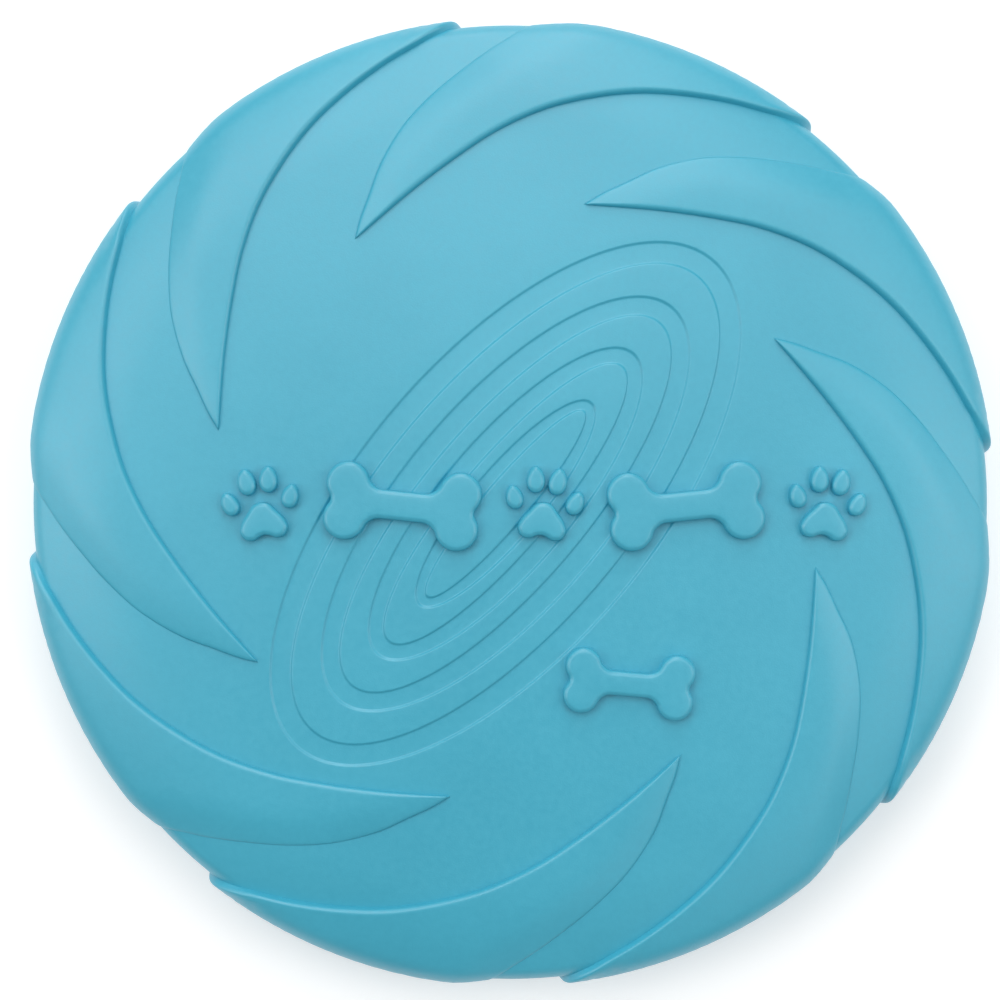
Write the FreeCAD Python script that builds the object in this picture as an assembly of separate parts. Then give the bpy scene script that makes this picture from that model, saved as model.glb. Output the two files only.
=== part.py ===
"""Soft rubber flying disc for fetch: a domed flight plate with a rolled rim, eight raised
crescent vanes that wrap over the rim, four shallow elliptical grooves and a raised motif of
plain paws and bones. Every solid is one moulded feature of the same rubber moulding.

Row frame: +Z up, origin on the surface the disc rests on, at the centre of the rim.
Millimetres. Each node is written to parts/NODE.step.
"""
import FreeCAD, Part
import math
import os

V = FreeCAD.Vector

# ---------------------------------------------------------------- driving dimensions (mm, degrees)
CROWN_T = 2.8            # rubber thickness of the plate and of the rim wall
CROWN_R = 900.0          # radius of the nearly flat crown
CROWN_END = 4.5          # slope where the crown hands over to the shoulder
SHOULDER_R = 60.0        # radius of the shoulder
SHOULDER_END = 19.35      # slope where the shoulder hands over to the rolled rim
ROLL_R = 4.0             # radius of the rolled rim
WALL_R = 158.0           # radius of the nearly straight wall below the widest point
WALL_END = 93.5          # slope at the bottom of the wall
LIP_R = 2.2              # outer corner of the lip
LIP_FLAT = 1.1           # width of the flat ring the disc rests on
LIP_IN_R = 1.5           # inner corner of the lip
BEAD_R = 83.5            # inside radius of the thickened lip bead
BEAD_Z = 2.4             # height of the bead's narrowest point

GROOVE_DEPTH = 0.45
GROOVE_CENTRE = (-0.9, -0.3)
GROOVE_TILT = 49.7
# outer half-axes, inner half-axes of each elliptical groove
GROOVES = [
    ((58.2, 26.6), (54.2, 22.3)),
    ((46.8, 18.5), (43.2, 14.7)),
    ((35.8, 11.7), (32.7, 8.4)),
    ((24.0, 6.3), (22.0, 4.0)),
]

VANES = 8
VANE_H = 1.5             # how far a vane stands out of the plate and of the rim
VANE_TIP_R = 55.6        # radius of a vane's inner tip
VANE_TIP_A = 121.85      # angle of the first vane's tip
VANE_FOOT_Z = 2.6        # where a vane ends on the rim wall
# leading (inner, steep) edge and trailing (outer) edge: (degrees round from the tip, radius)
LEAD = [(0.0, 55.6), (13.6, 59.4), (22.8, 63.7), (29.1, 67.4), (36.1, 71.4), (42.7, 74.85),
        (48.8, 78.0), (54.9, 80.8), (60.8, 83.6), (66.0, 86.1), (70.4, 88.6), (74.6, 93.0)]
TRAIL = [(0.0, 55.6), (2.7, 58.4), (6.1, 61.7), (10.0, 66.2), (15.4, 71.5), (20.8, 76.0),
         (25.0, 79.5), (29.1, 83.15), (31.6, 85.75), (33.6, 88.6), (36.0, 93.0)]
# how far each vane's tip sits off its even place, fading out towards the rim
SHIFT = [(0.95, 0.48), (0.55, 0.0), (0.55, 0.64), (1.35, 1.0), (1.75, 1.46), (1.9, 0.68),
         (1.5, 0.08), (1.1, 0.24)]
SHIFT_OUT_R = 88.0       # where the shift has faded out
SHIFT_RUN = 24.0         # radial length over which it fades

MOTIF_H = 2.0            # how far the paws and bones stand out
ROW_Y = -0.7
PAW_W = 14.4
# a bone's shape, as shares of its length: knob radius, knob height, half shaft, waist fillet, end notch
BONE_KNOB, BONE_KNOB_Y, BONE_SHAFT, BONE_WAIST, BONE_NOTCH = 0.137, 0.114, 0.092, 0.11, 0.055
# name, kind, x, y, size (paw width or bone length), turn
MOTIF = [
    ("paw_left", "paw", -45.2, ROW_Y, PAW_W, 8.0),
    ("bone_left", "bone", -19.55, ROW_Y, 28.1, -6.0),
    ("paw_middle", "paw", 6.1, ROW_Y, PAW_W, -6.0),
    ("bone_right", "bone", 31.75, ROW_Y, 28.1, 6.0),
    ("paw_right", "paw", 57.4, ROW_Y, PAW_W, -8.0),
    ("bone_small", "bone", 21.5, -32.9, 23.5, -5.0),
]


# ---------------------------------------------------------------- section of the disc
def slope_point(c, radius, deg):
    """Point on an arc of the section, where deg is the slope below horizontal."""
    a = math.radians(deg)
    return (c[0] + radius * math.sin(a), c[1] + radius * math.cos(a))


def section():
    """Arc centres, with the top at z 0 first and then lifted so that the lip stands on z 0."""
    c1 = (0.0, -CROWN_R)
    p1 = slope_point(c1, CROWN_R, CROWN_END)
    a = math.radians(CROWN_END)
    c2 = (p1[0] - SHOULDER_R * math.sin(a), p1[1] - SHOULDER_R * math.cos(a))
    p2 = slope_point(c2, SHOULDER_R, SHOULDER_END)
    a = math.radians(SHOULDER_END)
    c3 = (p2[0] - ROLL_R * math.sin(a), p2[1] - ROLL_R * math.cos(a))
    p3 = slope_point(c3, ROLL_R, 90.0)
    c4 = (p3[0] - WALL_R, p3[1])
    p4 = slope_point(c4, WALL_R, WALL_END)
    a = math.radians(WALL_END)
    c5 = (p4[0] - LIP_R * math.sin(a), p4[1] - LIP_R * math.cos(a))
    lift = -(c5[1] - LIP_R)
    return [(c[0], c[1] + lift) for c in (c1, c2, c3, c4, c5)]


C1, C2, C3, C4, C5 = section()
TOP_Z = C1[1] + CROWN_R


def arc(c, radius, a0, a1, reverse=False):
    p = [slope_point(c, radius, a) for a in (a0, (a0 + a1) / 2.0, a1)]
    if reverse:
        p = p[::-1]
    return Part.Arc(*[V(x, 0, z) for x, z in p]).toShape()


def line(p, q):
    return Part.makeLine(V(p[0], 0, p[1]), V(q[0], 0, q[1]))


def revolve(edges):
    face = Part.Face(Part.Wire(Part.__sortEdges__(edges)))
    solid = face.revolve(V(0, 0, 0), V(0, 0, 1), 360)
    if solid.Volume < 0:
        solid.reverse()
    return solid


def at(c, radius, deg):
    return slope_point(c, radius, deg)


def plate_solid():
    t = CROWN_T
    e = [
        arc(C1, CROWN_R, 0, CROWN_END),
        arc(C2, SHOULDER_R, CROWN_END, SHOULDER_END),
        line(at(C2, SHOULDER_R, SHOULDER_END), at(C2, SHOULDER_R - t, SHOULDER_END)),
        arc(C2, SHOULDER_R - t, CROWN_END, SHOULDER_END),
        arc(C1, CROWN_R - t, 0, CROWN_END),
        line(at(C1, CROWN_R - t, 0), at(C1, CROWN_R, 0)),
    ]
    return revolve(e)


def rim_solid():
    t = CROWN_T
    inner_top = at(C3, ROLL_R - t, 90.0)
    bottom_out = (C5[0], 0.0)
    bottom_in = (C5[0] - LIP_FLAT, 0.0)
    corner = (bottom_in[0] - LIP_IN_R, LIP_IN_R)
    e = [
        arc(C3, ROLL_R, SHOULDER_END, 90.0),
        arc(C4, WALL_R, 90.0, WALL_END),
        arc(C5, LIP_R, WALL_END, 180.0),
        line(bottom_out, bottom_in),
        Part.Arc(V(bottom_in[0], 0, 0),
                 V(bottom_in[0] - LIP_IN_R * math.sin(math.radians(45)), 0,
                   LIP_IN_R - LIP_IN_R * math.cos(math.radians(45))),
                 V(corner[0], 0, corner[1])).toShape(),
        line(corner, (corner[0], BEAD_Z)),
        arc(C3, ROLL_R - t, SHOULDER_END, 90.0),
        line(at(C3, ROLL_R - t, SHOULDER_END), at(C3, ROLL_R, SHOULDER_END)),
    ]
    blend = Part.BSplineCurve()
    blend.interpolate([V(inner_top[0], 0, inner_top[1]), V(corner[0], 0, BEAD_Z)],
                      InitialTangent=V(0, 0, -9.0), FinalTangent=V(0, 0, -9.0))
    e.append(blend.toShape())
    return revolve(e)


def skin(low, high, foot=None):
    """Solid of revolution between the outside surface moved by low and by high.
    Without foot it covers the flight plate only; with foot it goes down the rim to that height."""
    if foot is None:
        e = [
            arc(C1, CROWN_R + high, 0, CROWN_END),
            arc(C2, SHOULDER_R + high, CROWN_END, SHOULDER_END),
            line(at(C2, SHOULDER_R + high, SHOULDER_END), at(C2, SHOULDER_R + low, SHOULDER_END)),
            arc(C2, SHOULDER_R + low, CROWN_END, SHOULDER_END),
            arc(C1, CROWN_R + low, 0, CROWN_END),
            line(at(C1, CROWN_R + low, 0), at(C1, CROWN_R + high, 0)),
        ]
        return revolve(e)
    foot_a = 90.0 + math.degrees(math.asin((C4[1] - foot) / WALL_R))
    out_a = foot_a - 0.3
    e = [
        arc(C1, CROWN_R + high, 2.6, CROWN_END),
        arc(C2, SHOULDER_R + high, CROWN_END, SHOULDER_END),
        arc(C3, ROLL_R + high, SHOULDER_END, 90.0),
        arc(C4, WALL_R + high, 90.0, out_a),
        line(at(C4, WALL_R + high, out_a), at(C4, WALL_R + low, foot_a)),
        arc(C4, WALL_R + low, 90.0, foot_a),
        arc(C3, ROLL_R + low, SHOULDER_END, 90.0),
        arc(C2, SHOULDER_R + low, CROWN_END, SHOULDER_END),
        arc(C1, CROWN_R + low, 2.6, CROWN_END),
        line(at(C1, CROWN_R + low, 2.6), at(C1, CROWN_R + high, 2.6)),
    ]
    return revolve(e)


# ---------------------------------------------------------------- plan shapes
def prism(wire, z0=-5.0, z1=40.0):
    face = Part.Face(wire)
    face.translate(V(0, 0, z0))
    return face.extrude(V(0, 0, z1 - z0))


def ellipse_prism(cx, cy, a, b, tilt):
    el = Part.Ellipse(V(0, 0, 0), a, b).toShape()
    el.rotate(V(0, 0, 0), V(0, 0, 1), tilt)
    el.translate(V(cx, cy, 0))
    return prism(Part.Wire([el]))


def crescent_prism(index):
    """Plan outline of one vane, run out past the rim."""
    tip = VANE_TIP_A - 360.0 / VANES * index

    def edge(table):
        pts = []
        for d, r in table:
            a = math.radians(tip - d)
            f = min(1.0, max(0.0, (SHIFT_OUT_R - r) / SHIFT_RUN))
            f = f * f * (3.0 - 2.0 * f)
            pts.append(V(r * math.cos(a) + SHIFT[index][0] * f, r * math.sin(a) + SHIFT[index][1] * f, 0))
        s = Part.BSplineCurve()
        s.interpolate(pts)
        return s.toShape(), pts

    lead, lp = edge(LEAD)
    trail, tp = edge(TRAIL)
    mid = math.radians(tip - (LEAD[-1][0] + TRAIL[-1][0]) / 2.0)
    far = LEAD[-1][1] + 6.0
    closing = Part.Arc(lp[-1], V(far * math.cos(mid), far * math.sin(mid), 0), tp[-1]).toShape()
    return prism(Part.Wire(Part.__sortEdges__([lead, closing, trail])))


def bone_prisms(length):
    """Plain dog bone: a shaft, two round knobs at each end, and hollow fillets between them."""
    k, y0, s = BONE_KNOB * length, BONE_KNOB_Y * length, BONE_SHAFT * length
    f, g = BONE_WAIST * length, BONE_NOTCH * length
    x0 = length / 2.0 - k
    xs = x0 - math.sqrt((k + f) ** 2 - (s + f - y0) ** 2)
    xe = x0 + math.sqrt((k + g) ** 2 - y0 ** 2)
    # tangent points of the knob with the waist fillet and with the end notch
    def toward(x, y, far):
        d = math.hypot(x - x0, y - y0)
        return (x0 + (x - x0) * k / d, y0 + (y - y0) * k / d)
    tw = toward(xs, s + f, k)
    te = toward(xe, 0.0, k)
    notch = (xe - g, 0.0)
    mid = math.radians(58.0)
    top = (x0 + k * math.cos(mid), y0 + k * math.sin(mid))
    wm = (math.atan2(tw[1] - s - f, tw[0] - xs) - math.pi / 2.0) / 2.0
    waist = (xs + f * math.cos(wm), s + f + f * math.sin(wm))

    def p3(q, sx, sy):
        return V(sx * q[0], sy * q[1], 0)

    edges = []
    for sx in (1, -1):
        edges.append(Part.Arc(p3(te, sx, 1), p3(notch, sx, 1), p3(te, sx, -1)).toShape())
        for sy in (1, -1):
            edges.append(Part.Arc(p3(te, sx, sy), p3(top, sx, sy), p3(tw, sx, sy)).toShape())
            edges.append(Part.Arc(p3(tw, sx, sy), p3(waist, sx, sy), p3((xs, s), sx, sy)).toShape())
    for sy in (1, -1):
        edges.append(Part.makeLine(p3((xs, s), 1, sy), p3((xs, s), -1, sy)))
    return [prism(Part.Wire(Part.__sortEdges__(edges)))]


def paw_prisms(width):
    """Plain paw: a main pad and four toes, each its own raised solid."""
    w = width
    half = [(0.095, 0.020), (0.175, -0.070), (0.265, -0.185), (0.300, -0.300), (0.245, -0.395), (0.150, -0.415), (0.060, -0.375)]
    loop = [(0.0, 0.045)] + half + [(0.0, -0.362)] + [(-x, y) for x, y in half[::-1]]
    pad = Part.BSplineCurve()
    pad.interpolate([V(x * w, y * w, 0) for x, y in loop], PeriodicFlag=True)
    toes = [(-0.385, 0.075, 20.0, 0.105, 0.150), (-0.140, 0.320, 6.0, 0.112, 0.165),
            (0.140, 0.320, -6.0, 0.112, 0.165), (0.385, 0.075, -20.0, 0.105, 0.150)]
    out = [prism(Part.Wire([pad.toShape()]))]
    for x, y, turn, rx, ry in toes:
        out.append(ellipse_prism(x * w, y * w, ry * w, rx * w, 90.0 + turn))
    return out


# ---------------------------------------------------------------- build
def check(name, shape):
    solids = shape.Solids
    if not solids or not shape.isValid():
        raise SystemExit(name + " is not a valid solid")
    return solids


os.makedirs("parts", exist_ok=True)
nodes = {}

plate = plate_solid()
groove_skin = skin(-GROOVE_DEPTH, 1.0)
for outer, inner in GROOVES:
    band = ellipse_prism(*GROOVE_CENTRE, outer[0], outer[1], GROOVE_TILT).cut(
        ellipse_prism(*GROOVE_CENTRE, inner[0], inner[1], GROOVE_TILT))
    plate = plate.cut(band.common(groove_skin))
nodes["flight_plate"] = plate
nodes["rim"] = rim_solid()

vane_skin = skin(0.0, VANE_H, VANE_FOOT_Z)
for i in range(VANES):
    nodes["vane_%d" % (i + 1)] = vane_skin.common(crescent_prism(i))

motif_skin = skin(-1.0, MOTIF_H)
for name, kind, x, y, size, turn in MOTIF:
    solids = []
    for p in (paw_prisms(size) if kind == "paw" else bone_prisms(size)):
        p.rotate(V(0, 0, 0), V(0, 0, 1), turn)
        p.translate(V(x, y, 0))
        solids += p.common(motif_skin).cut(plate).Solids
    # what the cut leaves under the plate's skin is dropped: only the raised solids stay
    solids = [s for s in solids if s.BoundBox.ZMax > TOP_Z - 6.0 and s.Volume > 1.0]
    nodes[name] = Part.makeCompound(solids)

volume = 0.0
for name, shape in nodes.items():
    solids = check(name, shape)
    out = solids[0] if len(solids) == 1 else Part.makeCompound(solids)
    out.exportStep("parts/%s.step" % name)
    bb = out.BoundBox
    vol = sum(s.Volume for s in solids)
    volume += vol
    print("%-13s solids %d  vol %8.1f mm3  x %.2f..%.2f y %.2f..%.2f z %.2f..%.2f" % (
        name, len(solids), vol, bb.XMin, bb.XMax, bb.YMin, bb.YMax, bb.ZMin, bb.ZMax))
print("top z %.3f  widest r %.3f at z %.3f  lip flat r %.2f..%.2f  total %.1f cm3" % (
    TOP_Z, C3[0] + ROLL_R, C3[1], C5[0] - LIP_FLAT, C5[0], volume / 1000.0))
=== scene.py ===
import bpy
import math
import numpy as np
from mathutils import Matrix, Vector
from mathutils.geometry import delaunay_2d_cdt


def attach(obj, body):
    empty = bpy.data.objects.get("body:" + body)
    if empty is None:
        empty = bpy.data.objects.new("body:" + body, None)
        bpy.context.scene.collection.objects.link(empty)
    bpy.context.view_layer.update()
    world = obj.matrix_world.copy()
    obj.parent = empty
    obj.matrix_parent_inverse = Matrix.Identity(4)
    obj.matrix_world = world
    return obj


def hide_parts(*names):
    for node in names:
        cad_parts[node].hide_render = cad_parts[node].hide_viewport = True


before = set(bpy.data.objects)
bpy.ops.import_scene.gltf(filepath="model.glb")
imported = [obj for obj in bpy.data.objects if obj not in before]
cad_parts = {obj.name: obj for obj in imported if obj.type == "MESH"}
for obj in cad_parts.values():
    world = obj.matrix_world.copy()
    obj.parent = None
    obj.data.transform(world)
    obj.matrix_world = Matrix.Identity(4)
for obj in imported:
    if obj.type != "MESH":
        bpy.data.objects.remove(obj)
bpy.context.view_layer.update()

MM = 0.001
rad = math.radians

# ------------------------------------------------------------------ section of the disc (mm)
T = 2.8
ARCS = [(900.0, 0.0, 4.5), (60.0, 4.5, 19.35), (4.0, 19.35, 90.0), (158.0, 90.0, 93.5), (2.2, 93.5, 180.0)]


def arc_centres():
    cs = [(0.0, -900.0)]
    p = None
    for (r0, a0, a1), (r1, b0, b1) in zip(ARCS, ARCS[1:]):
        c = cs[-1]
        a = rad(a1)
        p = (c[0] + r0 * math.sin(a), c[1] + r0 * math.cos(a))
        cs.append((p[0] - r1 * math.sin(a), p[1] - r1 * math.cos(a)))
    lift = -(cs[-1][1] - ARCS[-1][0])
    return [(x, z + lift) for x, z in cs]


CEN = arc_centres()
TOP_Z = CEN[0][1] + 900.0
S0 = np.cumsum([0.0] + [r * rad(a1 - a0) for r, a0, a1 in ARCS])   # arc length at each arc's start
S_ROLL, S_WIDE, S_WALL, S_END = S0[2], S0[3], S0[4], S0[5]


def outer(s, h=0.0):
    """Radius, height and outward normal of the outside surface at arc length s, moved out by h."""
    s = np.asarray(s, float)
    k = np.clip(np.searchsorted(S0, s, side="right") - 1, 0, 4)
    R = np.array([a[0] for a in ARCS])[k]
    A = np.radians(np.array([a[1] for a in ARCS]))[k] + (s - S0[k]) / R
    c = np.array(CEN)[k]
    nr, nz = np.sin(A), np.cos(A)
    return c[..., 0] + (R + h) * nr, c[..., 1] + (R + h) * nz, nr, nz


TAB_S = np.linspace(0, S_WIDE, 4000)
TAB_R = outer(TAB_S)[0]


def s_of_r(r):
    return np.interp(r, TAB_R, TAB_S)


def spline(pts, n):
    """n+1 points, evenly spaced along a Catmull-Rom curve through pts."""
    p = np.array(pts, float)
    p = np.vstack([2 * p[0] - p[1], p, 2 * p[-1] - p[-2]])
    out = []
    for i in range(1, len(p) - 2):
        a, b, c, d = p[i - 1:i + 3]
        ta = 0.0
        tb = ta + max(np.linalg.norm(b - a), 1e-9) ** 0.5
        tc = tb + np.linalg.norm(c - b) ** 0.5
        td = tc + max(np.linalg.norm(d - c), 1e-9) ** 0.5
        t = np.linspace(tb, tc, 40, endpoint=False)[:, None]
        a1 = (tb - t) / (tb - ta) * a + (t - ta) / (tb - ta) * b
        a2 = (tc - t) / (tc - tb) * b + (t - tb) / (tc - tb) * c
        a3 = (td - t) / (td - tc) * c + (t - tc) / (td - tc) * d
        b1 = (tc - t) / (tc - ta) * a1 + (t - ta) / (tc - ta) * a2
        b2 = (td - t) / (td - tb) * a2 + (t - tb) / (td - tb) * a3
        out.append((tc - t) / (tc - tb) * b1 + (t - tb) / (tc - tb) * b2)
    out = np.vstack(out + [p[-2][None]])
    return resample(out, n)


def resample(poly, n):
    d = np.concatenate([[0], np.cumsum(np.linalg.norm(np.diff(poly, axis=0), axis=1))])
    t = np.linspace(0, d[-1], n + 1)
    return np.stack([np.interp(t, d, poly[:, k]) for k in range(poly.shape[1])], axis=1)


def inside_of(poly, p):
    """Which of the points p lie inside the closed polygon poly."""
    x, y = p[:, 0], p[:, 1]
    c = np.zeros(len(p), bool)
    for (x0, y0), (x1, y1) in zip(poly, np.roll(poly, -1, axis=0)):
        m = (y0 > y) != (y1 > y)
        if m.any():
            c ^= m & (x < (x1 - x0) * (y - y0) / (y1 - y0 + 1e-30) + x0)
    return c


def triangulate(points, edges, ring_n, ring):
    """Constrained triangulation of the points whose first ring_n make the closed boundary ring,
    as its points, its triangles counter-clockwise, and where each point came from."""
    closed = [(i, (i + 1) % ring_n) for i in range(ring_n)]
    v, _, f, src, _, _ = delaunay_2d_cdt([Vector(p) for p in points], closed + edges, [], 0, 1e-5, True)
    v = np.array([tuple(p) for p in v])
    f = np.array([t for t in f if len(t) == 3], int)
    f = f[inside_of(ring, v[f].mean(1))]
    a, b, c = (v[f[:, i]] for i in range(3))
    area = (b - a)[:, 0] * (c - a)[:, 1] - (b - a)[:, 1] * (c - a)[:, 0]
    f[area < 0] = f[area < 0][:, ::-1]
    return v, f[np.abs(area) > 1e-9], src


def make_piece(name, verts, faces, node_names, mat, smooth=True):
    me = bpy.data.meshes.new(name)
    me.from_pydata([tuple(v) for v in np.asarray(verts) * MM], [], [tuple(int(i) for i in f) for f in faces])
    me.validate()
    me.update()
    me.polygons.foreach_set("use_smooth", [smooth] * len(me.polygons))
    ob = bpy.data.objects.new(name, me)
    bpy.context.scene.collection.objects.link(ob)
    me.materials.append(mat)
    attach(ob, "root")
    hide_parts(*node_names)
    return ob


# ------------------------------------------------------------------ material: soft matte rubber
def rubber():
    m = bpy.data.materials.new("moulded_rubber")
    m.use_nodes = True
    nt = m.node_tree
    nt.nodes.clear()
    N, L = nt.nodes.new, nt.links.new
    out = N("ShaderNodeOutputMaterial")
    sh = N("ShaderNodeBsdfPrincipled")
    L(sh.outputs[0], out.inputs[0])
    sh.inputs["IOR"].default_value = 1.5
    sh.inputs["Specular IOR Level"].default_value = 1.0
    co = N("ShaderNodeTexCoord")

    def noise(scale, detail, rough=0.5):
        n = N("ShaderNodeTexNoise")
        n.inputs["Scale"].default_value = scale
        n.inputs["Detail"].default_value = detail
        n.inputs["Roughness"].default_value = rough
        L(co.outputs["Object"], n.inputs["Vector"])
        return n

    def ramp(src, stops):
        r = N("ShaderNodeValToRGB")
        e = r.color_ramp.elements
        e[0].position, e[0].color = stops[0]
        e[1].position, e[1].color = stops[-1]
        for p, c in stops[1:-1]:
            x = e.new(p)
            x.color = c
        L(src, r.inputs[0])
        return r

    cloud = noise(28.0, 3.0)            # pigment drift, tens of mm
    flecks = noise(900.0, 2.0)          # mottle, about a millimetre
    grain = noise(3200.0, 3.0, 0.6)     # matte grain of the mould, about 0.3 mm
    base = ramp(cloud.outputs["Fac"], [(0.30, (0.036, 0.384, 0.534, 1)), (0.5, (0.040, 0.402, 0.556, 1)), (0.70, (0.045, 0.420, 0.578, 1))])
    mott = ramp(flecks.outputs["Fac"], [(0.30, (0.965, 0.975, 0.98, 1)), (0.70, (1.03, 1.02, 1.015, 1))])
    mix = N("ShaderNodeMix")
    mix.data_type = "RGBA"
    mix.blend_type = "MULTIPLY"
    mix.inputs[0].default_value = 1.0
    L(base.outputs[0], mix.inputs[6])
    L(mott.outputs[0], mix.inputs[7])
    L(mix.outputs[2], sh.inputs["Base Color"])
    rr = N("ShaderNodeMapRange")
    rr.inputs["From Min"].default_value = 0.3
    rr.inputs["From Max"].default_value = 0.7
    rr.inputs["To Min"].default_value = 0.37
    rr.inputs["To Max"].default_value = 0.45
    L(flecks.outputs["Fac"], rr.inputs["Value"])
    L(rr.outputs[0], sh.inputs["Roughness"])
    b1 = N("ShaderNodeBump")
    b1.inputs["Strength"].default_value = 0.35
    b1.inputs["Distance"].default_value = 0.00006
    L(grain.outputs["Fac"], b1.inputs["Height"])
    soft = noise(140.0, 2.0)            # slow unevenness of the cooled surface
    b2 = N("ShaderNodeBump")
    b2.inputs["Strength"].default_value = 0.25
    b2.inputs["Distance"].default_value = 0.0002
    L(soft.outputs["Fac"], b2.inputs["Height"])
    L(b1.outputs[0], b2.inputs["Normal"])
    L(b2.outputs[0], sh.inputs["Normal"])
    return m


RUBBER = rubber()

# ------------------------------------------------------------------ disc body: plate, grooves, rolled rim, lip and underside
NT = 384
GC = np.array([-0.9, -0.3])
GT = rad(49.7)
DEPTH = 0.34
LINES = [(58.25, 26.55), (54.2, 22.3), (46.8, 18.5), (43.2, 14.7), (35.8, 11.7), (32.7, 8.4), (24.0, 6.3), (22.0, 4.0)]
tt = np.linspace(0, 2 * math.pi, NT, endpoint=False)


def ellipse_row(a, b):
    x, y = a * np.cos(tt), b * np.sin(tt)
    return np.stack([GC[0] + x * math.cos(GT) - y * math.sin(GT), GC[1] + x * math.sin(GT) + y * math.cos(GT)], 1)


def circle_row(r):
    return np.stack([r * np.cos(tt + GT), r * np.sin(tt + GT)], 1)


def top_point(xy, h):
    """A point on the crown above plan position xy, moved h along the normal."""
    r = np.hypot(xy[:, 0], xy[:, 1])
    s = s_of_r(r)
    rr, z, nr, nz = outer(s, 0.0)
    u = xy / np.maximum(r, 1e-9)[:, None]
    return np.column_stack([xy + u * (nr * h)[:, None], z + nz * h])


def disc_body():
    rows = []                       # each row NT points, from the crown's centre outwards and round under
    STEP = [(-0.38, 0.0), (-0.23, 0.02), (-0.14, 0.16), (-0.05, 0.38), (0.05, 0.62), (0.14, 0.84), (0.23, 0.98), (0.38, 1.0)]
    # inside the innermost groove
    for k in (0.12, 0.3, 0.5, 0.7, 0.86, 0.96):
        rows.append((ellipse_row((LINES[7][0] - 0.45) * k, (LINES[7][1] - 0.45) * k), 0.0))
    for i in range(7, -1, -1):
        a, b = LINES[i]
        into = i % 2 == 1           # going outwards, an odd index line steps down into the groove
        for d, f in STEP:
            rows.append((ellipse_row(a + d, b + d), -DEPTH * (f if into else 1.0 - f)))
        if i:
            a2, b2 = LINES[i - 1]
            lo, hi = np.array([a + 0.38, b + 0.38]), np.array([a2 - 0.38, b2 - 0.38])
            n = 2 if into else 3
            for q in range(1, n + 1):
                e = lo + (hi - lo) * q / (n + 1)
                rows.append((ellipse_row(*e), -DEPTH if into else 0.0))
    pts = [top_point(xy, np.full(NT, h)) for xy, h in rows]
    last = ellipse_row(LINES[0][0] + 0.38, LINES[0][1] + 0.38)
    for q in (0.08, 0.22, 0.38, 0.55, 0.72, 0.88):
        xy = last * (1 - q) + circle_row(70.7) * q
        pts.append(top_point(xy, np.zeros(NT)))

    def ring(r, z):
        c = circle_row(r)
        pts.append(np.column_stack([c, np.full(NT, z)]))

    ss = np.concatenate([np.linspace(S0[1], S0[2], 13, endpoint=False), np.linspace(S0[2], S0[3], 18, endpoint=False),
                         np.linspace(S0[3], S0[4], 9, endpoint=False), np.linspace(S0[4], S0[5], 11)])
    for s in ss:
        r, z, _, _ = outer(s)
        ring(float(r), float(z))
    # lip: flat ring, inner corner, bead, then up inside the wall
    c5 = CEN[4]
    ring(c5[0] - 0.35, 0.0)
    ring(c5[0] - 0.75, 0.0)
    rin = c5[0] - 1.1
    for a in np.radians([0, 15, 32, 50, 68, 84, 90]):
        ring(rin - 1.5 * math.sin(a), 1.5 - 1.5 * math.cos(a))
    bx = rin - 1.5
    c3 = CEN[2]
    p0, p1 = np.array([bx, 2.4]), np.array([c3[0] + 1.2, c3[1]])
    for t in np.linspace(0, 1, 12)[:-1]:
        h = 3 * t * t - 2 * t ** 3
        ring(p0[0] + (p1[0] - p0[0]) * h, p0[1] + (p1[1] - p0[1]) * t)
    for a in np.radians(np.linspace(90, 19.35, 10)):
        ring(c3[0] + 1.2 * math.sin(a), c3[1] + 1.2 * math.cos(a))
    c2 = CEN[1]
    for a in np.radians(np.linspace(19.35, 4.5, 10)[1:]):
        ring(c2[0] + 57.2 * math.sin(a), c2[1] + 57.2 * math.cos(a))
    c1 = CEN[0]
    for r in (62, 54, 46, 38, 31, 25, 19, 14, 9.5, 6, 3, 1.2):
        ring(r, c1[1] + math.sqrt(897.2 ** 2 - r * r))
    P = np.array(pts)                                   # rows x NT x 3
    nr = len(P)
    V = [np.array([GC[0], GC[1], float(top_point(GC[None], np.zeros(1))[0, 2])])[None], P.reshape(-1, 3),
         np.array([[0, 0, c1[1] + 897.2]])]
    V = np.vstack(V)
    F = []
    for j in range(NT):
        k = (j + 1) % NT
        F.append((0, 1 + j, 1 + k))
    for i in range(nr - 1):
        a, b = 1 + i * NT, 1 + (i + 1) * NT
        for j in range(NT):
            k = (j + 1) % NT
            F.append((a + j, b + j, b + k, a + k))
    e = 1 + (nr - 1) * NT
    for j in range(NT):
        k = (j + 1) % NT
        F.append((e + j, len(V) - 1, e + k))
    return make_piece("disc_body", V, F, ["flight_plate", "rim"], RUBBER)


disc_body()

# ------------------------------------------------------------------ crescent vanes
VANE_H = 1.5
TIP0 = 121.85
S_FOOT = 100.25
# leading edge: degrees round from the tip, distance from the crown's centre along the surface
LEAD = [(0.0, 55.6), (13.6, 59.4), (22.8, 63.7), (29.1, 67.4), (36.1, 71.45), (42.7, 74.9), (48.8, 78.1),
        (54.9, 81.0), (60.8, 83.9), (66.0, 86.6), (69.0, 88.9), (70.4, 91.2), (71.0, 95.0), (71.4, 100.25)]
TRAIL = [(0.0, 55.6), (2.7, 58.4), (6.1, 61.7), (10.0, 66.2), (15.4, 71.55), (20.8, 76.1), (25.0, 79.6),
         (29.1, 83.45), (31.9, 86.2), (33.6, 88.5), (34.6, 91.2), (35.1, 95.0), (35.3, 100.25)]
H_LEAD = [(-0.30, -0.55), (-0.03, -0.12), (0.0, 0.0), (0.03, 0.30), (0.06, 0.58), (0.12, 0.82), (0.22, 1.03), (0.36, 1.20),
          (0.52, 1.33), (0.70, 1.42), (0.92, 1.475), (1.15, 1.5)]
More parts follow.
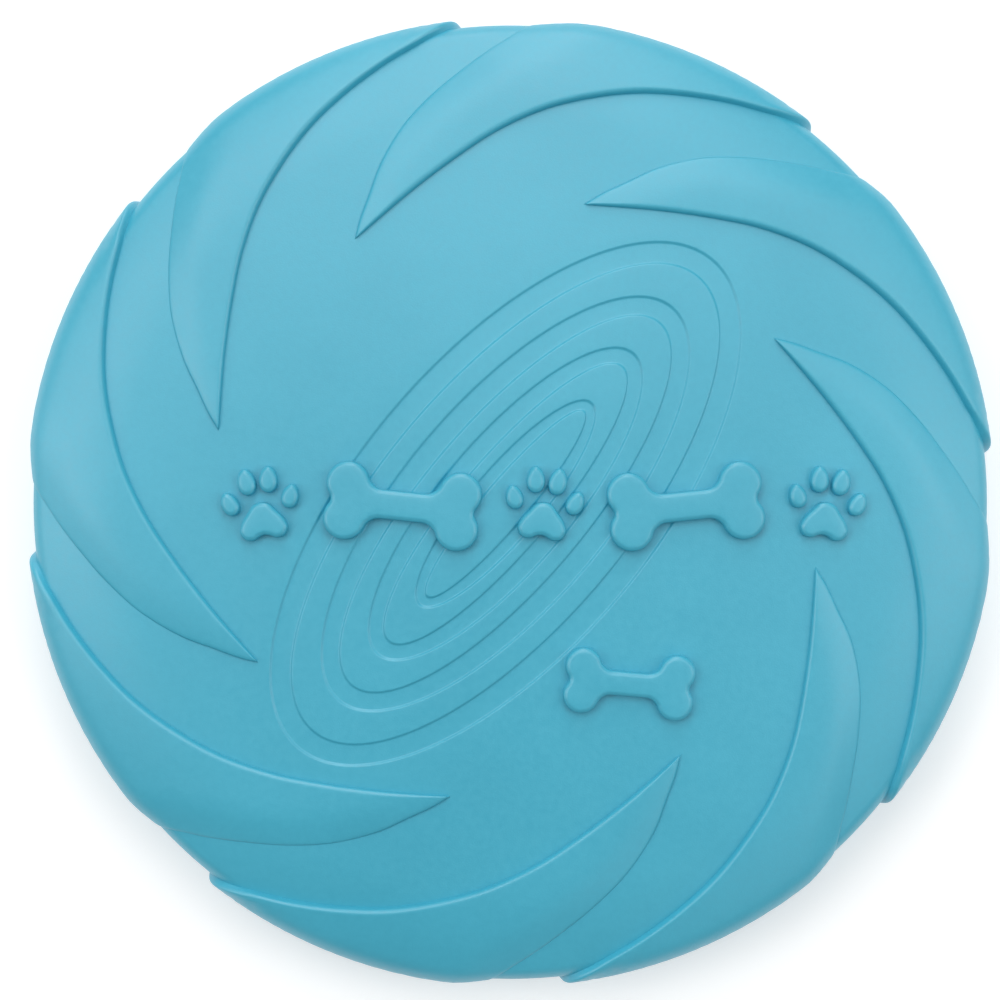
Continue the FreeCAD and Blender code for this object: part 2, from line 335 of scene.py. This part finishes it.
H_TRAIL = [(-0.30, -0.50), (-0.04, -0.07), (0.0, 0.0), (0.07, 0.09), (0.15, 0.18), (0.25, 0.26), (0.40, 0.33), (0.65, 0.40),
           (1.0, 0.49), (1.7, 0.64), (2.6, 0.84), (3.6, 1.05), (4.8, 1.26), (6.2, 1.42), (8.0, 1.5)]
H_TIP = [(-0.30, -0.50), (-0.04, -0.12), (0.0, 0.0), (0.07, 0.26), (0.15, 0.50), (0.25, 0.66), (0.40, 0.78), (0.65, 0.89),
         (1.0, 0.98), (1.7, 1.09), (2.6, 1.20), (3.6, 1.30), (4.8, 1.40), (6.2, 1.47), (8.0, 1.5)]      # trailing edge by the tip
H_RIM = [(-0.30, -0.50), (-0.04, -0.06), (0.0, 0.0), (0.07, 0.05), (0.15, 0.09), (0.25, 0.12), (0.40, 0.16), (0.65, 0.21),
         (1.0, 0.27), (1.7, 0.38), (2.6, 0.51), (3.6, 0.66), (4.8, 0.83), (6.2, 1.03), (8.0, 1.24), (10.5, 1.42), (13.0, 1.5)]
# how much of that gentlest ramp each vane's trailing edge takes on over the rim
EASE = [1.0, 0.1, 1.0, 0.15, 0.25, 0.2, 0.55, 0.6]
H_FOOT = [(-0.30, -0.55), (0.0, 0.0), (0.10, 0.16), (0.25, 0.52), (0.45, 0.90), (0.70, 1.18), (1.05, 1.38), (1.6, 1.5)]


def plane(table):
    a = np.radians([-d for d, _ in table])
    s = np.array([r for _, r in table])
    return np.stack([s * np.cos(a), s * np.sin(a)], 1)


def shrink(p):
    """True distance round the disc over distance in the flattened plane."""
    s = np.hypot(p[:, 0], p[:, 1])
    return outer(s)[0] / s


def offset(poly, d, scaled=True):
    """Poly moved d to its left, where d is a true distance."""
    t = np.gradient(poly, axis=0)
    t /= np.linalg.norm(t, axis=1)[:, None]
    n = np.stack([-t[:, 1], t[:, 0]], 1)
    k = shrink(poly) if scaled else np.ones(len(poly))
    return poly + n * (d / k)[:, None]


def signed(pts, poly, scaled=True):
    """Signed true distance from poly, positive on its left."""
    a, b = poly[:-1], poly[1:]
    best = np.full(len(pts), 1e9)
    sign = np.ones(len(pts))
    ab = b - a
    l2 = (ab ** 2).sum(1)
    for i in range(len(a)):
        ap = pts - a[i]
        t = (ap @ ab[i]) / l2[i]
        t = np.clip(t, 0 if i else -50, 1 if i < len(a) - 1 else 50)
        q = ap - t[:, None] * ab[i]
        d = np.hypot(q[:, 0], q[:, 1])
        near = d < best
        best = np.where(near, d, best)
        sign = np.where(near, np.sign(ab[i][0] * ap[:, 1] - ab[i][1] * ap[:, 0]), sign)
    d = best * sign
    return d * (shrink(pts) if scaled else 1.0)


def soft_min(a, b, k):
    h = np.maximum(k - np.abs(a - b), 0) / k
    return np.minimum(a, b) - h * h * k / 4


def height(table, d):
    x, y = np.array(table).T
    return np.interp(d, x, y)


def vane_plan():
    """One vane's triangles in the flattened plane with its tip on +X, and their distances from its edges."""
    lead = spline(plane(LEAD), 150)            # tip to foot; the vane lies to its left
    trail = spline(plane(TRAIL), 110)
    trail = trail[::-1]                        # foot to tip; the vane lies to its left
    a0, a1 = rad(-LEAD[-1][0]), rad(-TRAIL[-1][0])
    th = np.linspace(a0, a1, 70)
    foot = np.stack([S_FOOT * np.cos(th), S_FOOT * np.sin(th)], 1)
    D = 0.30
    ol, ot = offset(lead, -D), offset(trail, -D)
    of = foot * (S_FOOT + D) / S_FOOT
    tip = (lead[0] - lead[3]) / np.linalg.norm(lead[0] - lead[3]) + (trail[-1] - trail[-4]) / np.linalg.norm(trail[-1] - trail[-4])
    tip /= np.linalg.norm(tip)

    def cut_to(poly_a, poly_b):
        """poly_a's end and poly_b's start, trimmed where they meet."""
        for i in range(len(poly_a) - 1, 0, -1):
            p, r = poly_a[i - 1], poly_a[i] - poly_a[i - 1]
            for j in range(len(poly_b) - 1):
                q, s = poly_b[j], poly_b[j + 1] - poly_b[j]
                x = r[0] * s[1] - r[1] * s[0]
                if abs(x) < 1e-12:
                    continue
                t = ((q - p)[0] * s[1] - (q - p)[1] * s[0]) / x
                u = ((q - p)[0] * r[1] - (q - p)[1] * r[0]) / x
                if 0 <= t <= 1 and 0 <= u <= 1:
                    return np.vstack([poly_a[:i], (p + t * r)[None]]), poly_b[j + 1:]
        return poly_a, poly_b

    # the outer boundary runs lead (tip to foot), foot, trail (foot to tip); extend ends so they meet
    ext = lambda p, q, n: np.vstack([p, p[-1] + (p[-1] - p[-3]) / np.linalg.norm(p[-1] - p[-3]) * n])
    ol = ext(ol, None, 1.2)
    ot0 = np.vstack([ot[0] + (ot[0] - ot[2]) / np.linalg.norm(ot[0] - ot[2]) * 1.2, ot])
    dth = 1.0 / S_FOOT
    th2 = np.linspace(a0 - dth, a1 + dth, 72)
    of = np.stack([(S_FOOT + D) * np.cos(th2), (S_FOOT + D) * np.sin(th2)], 1)
    ol, of = cut_to(ol, of)
    of, ot0 = cut_to(of, ot0)
    # round tip
    apex = lead[0] + tip * D * 1.3
    ol = np.vstack([apex[None], ol[2:]])
    ot0 = ot0[:-2]
    bound = np.vstack([ol, of, ot0])
    keep = [0]
    for i in range(1, len(bound)):
        if np.linalg.norm(bound[i] - bound[keep[-1]]) > 0.12:
            keep.append(i)
    bound = bound[keep]
    if np.linalg.norm(bound[-1] - bound[0]) < 0.12:
        bound = bound[:-1]
    nb = len(bound)
    verts = [tuple(p) for p in bound]
    edges = []

    def inside(p):
        return inside_of(bound, p)

    def add_line(poly, ok):
        """Adds the runs of poly for which ok holds, as constraint edges."""
        prev = None
        for p, good in zip(poly, ok):
            if good:
                verts.append(tuple(p))
                if prev is not None:
                    edges.append((prev, len(verts) - 1))
                prev = len(verts) - 1
            else:
                prev = None

    for table, poly, scaled, others in (
            (H_LEAD, lead, True, (trail, foot)), (H_TRAIL, trail, True, (lead, foot)), (H_FOOT, foot, False, (lead, trail))):
        for d, _ in table[1:]:
            if scaled:
                line = offset(poly, d)
            else:
                line = poly * ((S_FOOT - d) / S_FOOT)
            ok = inside(line)
            for o in others:
                other_scaled = o is not foot
                # a ring stops where another edge is nearer than it
                ok &= signed(line, o, other_scaled) > (min(d, 1.0) * 0.9 + 0.02 if d <= 1.2 else 1.7)
            add_line(line, ok)
    # interior points
    lo, hi = bound.min(0), bound.max(0)
    g = 1.35
    ys = np.arange(lo[1], hi[1], g * 0.866)
    pts = np.array([(x + (g / 2 if k % 2 else 0), y) for k, y in enumerate(ys) for x in np.arange(lo[0], hi[0], g)])
    pts = pts[inside(pts)]
    far = (signed(pts, lead) > 2.2) & (signed(pts, trail) > 8.6) & (signed(pts, foot, False) > 2.0)
    for p in pts[far]:
        verts.append(tuple(p))
    P, f, _ = triangulate(verts, edges, nb, bound)
    dl, dt, df = signed(P, lead), signed(P, trail), signed(P, foot, False)
    # boundary vertices of the triangulation
    cnt = {}
    for t in f:
        for i in range(3):
            k = tuple(sorted((t[i], t[(i + 1) % 3])))
            cnt[k] = cnt.get(k, 0) + 1
    on_edge = np.zeros(len(P), bool)
    for (a, b), c in cnt.items():
        if c == 1:
            on_edge[[a, b]] = True
    return P, f, dl, dt, df, on_edge


def vane_mesh(P, f, dl, dt, df, on_edge, ease):
    """The vane given its height and wrapped on to the disc, its tip at angle 0."""
    sp = np.hypot(P[:, 0], P[:, 1])
    tight = np.clip((sp - 78.0) / 9.0, 0, 1)              # the leading edge is sharper over the rim
    dl = np.where(dl > 0, dl * (1.0 + 0.9 * tight * tight * (3 - 2 * tight)), dl)
    far = np.clip((sp - 57.0) / 15.0, 0, 1)
    far = far * far * (3 - 2 * far)
    ht = height(H_TIP, dt) * (1 - far) + height(H_TRAIL, dt) * far
    rim = np.clip((sp - 75.0) / 12.0, 0, 1)
    rim = rim * rim * (3 - 2 * rim) * ease
    ht = ht * (1 - rim) + height(H_RIM, dt) * rim
    h = soft_min(soft_min(height(H_LEAD, dl), ht, 0.14), height(H_FOOT, df), 0.2)
    thin = np.clip((sp - 56.0) / 27.0, 0, 1)              # and a vane is thinner towards its tip
    h = np.maximum(np.where(h > 0, h * (0.80 + 0.20 * thin * thin * (3 - 2 * thin)), h), -0.6)
    h[on_edge] = -0.6

    def wrap(Q, hh):
        s = np.hypot(Q[:, 0], Q[:, 1])
        th = np.arctan2(Q[:, 1], Q[:, 0])
        r, z, _, _ = outer(s, hh)
        return np.column_stack([r * np.cos(th), r * np.sin(th), z])

    top = wrap(P, h)
    # underside of the vane, inside the rubber of the plate: same triangles, fewer needed but kept simple
    low_index = {}
    low = []
    for i in range(len(P)):
        if not on_edge[i]:
            low_index[i] = len(P) + len(low)
            low.append(i)
    bottom = wrap(P[low], np.full(len(low), -0.9)) if low else np.zeros((0, 3))
    F = [tuple(int(i) for i in t) for t in f]
    G = [tuple(low_index.get(i, i) for i in t[::-1]) for t in F]
    return np.vstack([top, bottom]), F + G


# how far each vane's tip sits off its even place, fading out towards the rim
SHIFT = [(0.95, 0.48), (0.55, 0.0), (0.55, 0.64), (1.35, 1.0), (1.75, 1.46), (1.9, 0.68), (1.5, 0.08), (1.1, 0.24)]


def shifted(v, by):
    r = np.hypot(v[:, 0], v[:, 1])
    f = np.clip((88.0 - r) / 24.0, 0, 1)
    f = f * f * (3 - 2 * f)
    q = v[:, :2] + np.array(by) * f[:, None]
    r2 = np.hypot(q[:, 0], q[:, 1])
    dz = np.where(f > 0, outer(s_of_r(np.minimum(r2, 88.0)))[1] - outer(s_of_r(np.minimum(r, 88.0)))[1], 0.0)
    return np.column_stack([q, v[:, 2] + dz])


PLAN = vane_plan()
for k in range(8):
    VV, VF = vane_mesh(*PLAN, EASE[k])
    a = rad(TIP0 - 45.0 * k)
    R = np.array([[math.cos(a), -math.sin(a), 0], [math.sin(a), math.cos(a), 0], [0, 0, 1]])
    make_piece("crescent_%d" % (k + 1), shifted(VV @ R.T, SHIFT[k]), VF, ["vane_%d" % (k + 1)], RUBBER)

# ------------------------------------------------------------------ raised paws and bones
H_MOTIF = [(-0.22, -1.0), (-0.12, -0.06), (-0.08, 0.04), (-0.05, 0.20), (-0.03, 0.7), (0.0, 1.30), (0.03, 1.44), (0.09, 1.55),
           (0.22, 1.67), (0.42, 1.81), (0.58, 1.90), (0.72, 1.95), (0.88, 1.97)]


def bone_outline(length):
    k, y0, s, f, g = 0.137 * length, 0.114 * length, 0.092 * length, 0.11 * length, 0.055 * length
    x0 = length / 2 - k
    p = math.sqrt((k + f) ** 2 - (s + f - y0) ** 2)
    cs = np.array([x0 - p, s + f])
    q = math.sqrt((k + g) ** 2 - y0 ** 2)
    ce = np.array([x0 + q, 0.0])
    K = np.array([x0, y0])
    out = []

    def sweep(c, r, a0, a1):
        n = max(4, int(abs(a1 - a0) * r / 0.28))
        for a in np.linspace(a0, a1, n, endpoint=False):
            out.append((c[0] + r * math.cos(a), c[1] + r * math.sin(a)))

    # quarter from the end notch on +X up and back to the shaft's middle
    ang = lambda v: math.atan2(v[1], v[0])
    t_end, t_sh = ang(K - ce), ang(K - cs)
    sweep(ce, g, math.pi, t_end)                             # concave notch
    a_from, a_to = ang(ce - K), ang(cs - K)
    if a_to < a_from:
        a_to += 2 * math.pi
    sweep(K, k, a_from, a_to)
    sweep(cs, f, t_sh, -math.pi / 2)
    n = max(2, int(cs[0] / 0.5))
    for x in np.linspace(cs[0], 0, n, endpoint=False):
        out.append((x, s))
    q1 = np.array(out)
    q2 = np.array([(-x, y) for x, y in q1[::-1]])
    mid = np.array([[0.0, s]])
    upper = np.vstack([q1, mid, q2])
    lower = -upper
    poly = np.vstack([upper[:-1], lower[:-1]]) if np.allclose(upper[-1], lower[0], atol=1e-6) else np.vstack([upper, lower])
    return clean(poly)


def clean(poly, gap=0.05):
    keep = [0]
    for i in range(1, len(poly)):
        if np.linalg.norm(poly[i] - poly[keep[-1]]) > gap:
            keep.append(i)
    poly = poly[keep]
    if np.linalg.norm(poly[0] - poly[-1]) < gap:
        poly = poly[:-1]
    area = 0.5 * np.sum(poly[:, 0] * np.roll(poly[:, 1], -1) - poly[:, 1] * np.roll(poly[:, 0], -1))
    return poly if area > 0 else poly[::-1]


def closed_spline(pts, step=0.28):
    p = np.array(pts, float)
    q = np.vstack([p[-2:], p, p[:3]])
    d = spline(q, 1600)
    # keep one lap: from the third point to the point that repeats it
    i0 = np.argmin(np.linalg.norm(d[:500] - p[0], axis=1))
    i1 = 1000 + np.argmin(np.linalg.norm(d[1000:] - p[0], axis=1))
    lap = d[i0:i1 + 1]
    n = int(np.sum(np.linalg.norm(np.diff(lap, axis=0), axis=1)) / step)
    return clean(resample(lap, n)[:-1])


PAD = [(0.0, 0.045), (0.095, 0.020), (0.175, -0.070), (0.265, -0.185), (0.300, -0.300), (0.245, -0.395), (0.150, -0.415),
       (0.060, -0.375), (0.0, -0.362), (-0.060, -0.375), (-0.150, -0.415), (-0.245, -0.395), (-0.300, -0.300), (-0.265, -0.185),
       (-0.175, -0.070), (-0.095, 0.020)]
TOES = [(-0.385, 0.075, 20.0, 0.105, 0.150), (-0.140, 0.320, 6.0, 0.112, 0.165),
        (0.140, 0.320, -6.0, 0.112, 0.165), (0.385, 0.075, -20.0, 0.105, 0.150)]


def paw_outlines(w):
    out = [closed_spline(np.array(PAD) * w)]
    for x, y, turn, rx, ry in TOES:
        t = np.linspace(0, 2 * math.pi, 40, endpoint=False)
        a = rad(turn)
        ex, ey = rx * w * np.cos(t), ry * w * np.sin(t)
        # a toe is a little narrower at its far end
        ex = ex * (1.0 - 0.14 * ey / (ry * w))
        out.append(clean(np.stack([x * w + ex * math.cos(a) - ey * math.sin(a), y * w + ex * math.sin(a) + ey * math.cos(a)], 1)))
    return out


def raised(poly, x, y, turn):
    """Closed solid standing out of the crown over the closed outline poly."""
    a = rad(turn)
    R = np.array([[math.cos(a), -math.sin(a)], [math.sin(a), math.cos(a)]])
    P = poly @ R.T + np.array([x, y])
    t = np.roll(P, -1, axis=0) - np.roll(P, 1, axis=0)
    t /= np.linalg.norm(t, axis=1)[:, None]
    n = np.stack([-t[:, 1], t[:, 0]], 1)                     # inwards, as the outline runs counter-clockwise
    m = len(P)
    verts, faces, h_all = [], [], []
    for d, h in H_MOTIF:
        verts.append(P + n * d)
        h_all.append(np.full(m, h))
    k = len(H_MOTIF)
    for i in range(k - 1):
        for j in range(m):
            q = (j + 1) % m
            faces.append((i * m + j, i * m + q, (i + 1) * m + q, (i + 1) * m + j))
    ring = verts[-1]
    lo, hi = ring.min(0), ring.max(0)
    g = 0.8
    ys = np.arange(lo[1], hi[1], g * 0.866)
    grid = np.array([(xx + (g / 2 if r % 2 else 0), yy) for r, yy in enumerate(ys) for xx in np.arange(lo[0], hi[0], g)])
    dmin = np.full(len(grid), 1e9)
    for p0 in ring:
        dmin = np.minimum(dmin, np.hypot(*(grid - p0).T))
    inner = grid[inside_of(ring, grid) & (dmin > 0.35)]
    v, f, ov = triangulate([tuple(p) for p in ring] + [tuple(p) for p in inner], [], m, ring)
    index = []
    base_n = (k - 1) * m
    extra = []
    for i, src in enumerate(ov):
        if src and min(src) < m:
            index.append(base_n + min(src))
        else:
            index.append(k * m + len(extra))
            extra.append(tuple(v[i]))
    extra = np.array(extra).reshape(-1, 2)
    de = np.zeros(len(extra))
    if len(extra):
        de = np.min(np.stack([np.hypot(*(extra - p).T) for p in ring]), axis=0)
    faces += [tuple(index[i] for i in t) for t in f]
    verts.append(extra)
    h_all.append(1.98 + 0.03 * (1 - np.exp(-de / 0.8)))
    # flat bottom, inside the rubber of the plate
    faces.append(tuple(range(m))[::-1])
    XY = np.vstack(verts)
    return top_point(XY, np.concatenate(h_all)), faces


MOTIF = [
    ("paw_left", "paw", -45.2, -0.7, 14.4, 8.0),
    ("bone_left", "bone", -19.55, -0.7, 28.1, -6.0),
    ("paw_middle", "paw", 6.1, -0.7, 14.4, -6.0),
    ("bone_right", "bone", 31.75, -0.7, 28.1, 6.0),
    ("paw_right", "paw", 57.4, -0.7, 14.4, -8.0),
    ("bone_small", "bone", 21.5, -32.9, 23.5, -5.0),
]
for name, kind, x, y, size, turn in MOTIF:
    V, F, n = [], [], 0
    for poly in (paw_outlines(size) if kind == "paw" else [bone_outline(size)]):
        v, f = raised(poly, x, y, turn)
        V.append(v)
        F += [tuple(i + n for i in t) for t in f]
        n += len(v)
    make_piece(name + "_relief", np.vstack(V), F, [name], RUBBER)

# ------------------------------------------------------------------ floor, light, camera
floor = bpy.data.meshes.new("floor")
floor.from_pydata([(-3, -3, 0), (3, -3, 0), (3, 3, 0), (-3, 3, 0)], [], [(0, 1, 2, 3)])
fo = bpy.data.objects.new("floor", floor)
bpy.context.scene.collection.objects.link(fo)
fm = bpy.data.materials.new("pale_floor")
fm.use_nodes = True
fb = fm.node_tree.nodes["Principled BSDF"]
fb.inputs["Base Color"].default_value = (0.82, 0.82, 0.82, 1)
fb.inputs["Roughness"].default_value = 0.9
fb.inputs["Specular IOR Level"].default_value = 0.1
fb.inputs["Emission Color"].default_value = (1, 1, 1, 1)
fb.inputs["Emission Strength"].default_value = 0.32
floor.materials.append(fm)

sc = bpy.context.scene
sc.view_settings.view_transform = "Standard"
sc.view_settings.look = "None"
sc.view_settings.exposure = 0.0
w = bpy.data.worlds.new("studio")
sc.world = w
w.use_nodes = True
w.node_tree.nodes["Background"].inputs[0].default_value = (1, 1, 1, 1)
w.node_tree.nodes["Background"].inputs[1].default_value = 0.28


def softbox(name, azimuth, from_zenith, watts, size=0.75, distance=1.5):
    l = bpy.data.lights.new(name, "AREA")
    l.shape = "DISK"
    l.size = size
    l.energy = watts
    o = bpy.data.objects.new(name, l)
    az, ze = rad(azimuth), rad(from_zenith)
    d = Vector((math.sin(ze) * math.cos(az), math.sin(ze) * math.sin(az), math.cos(ze)))
    o.location = d * distance
    o.rotation_euler = (-d).to_track_quat("-Z", "Y").to_euler()
    sc.collection.objects.link(o)


softbox("back_high", 90, 20, 2.4)
softbox("back_mid", 90, 44, 3.4)
softbox("back_low", 90, 68, 4.2)
softbox("back_left", 135, 38, 3.1)
softbox("back_right", 45, 38, 1.6)
softbox("left_high", 180, 41, 3.6)
softbox("left_low", 180, 65, 2.2)
softbox("right_high", 0, 39, 3.0)
softbox("right_low", 0, 65, 2.2)
softbox("front_right", -45, 45, 1.0)

cam = bpy.data.cameras.new("camera")
co = bpy.data.objects.new("camera", cam)
sc.collection.objects.link(co)
CAM_Z = 0.400
co.location = (-0.0019, 0.0004, CAM_Z)
co.rotation_euler = (0, 0, 0)
cam.sensor_width = 36.0
cam.lens = 36.0 * (CAM_Z * 1000 - 11.7) / 185.76
cam.clip_start = 0.01
cam.clip_end = 20
sc.camera = co
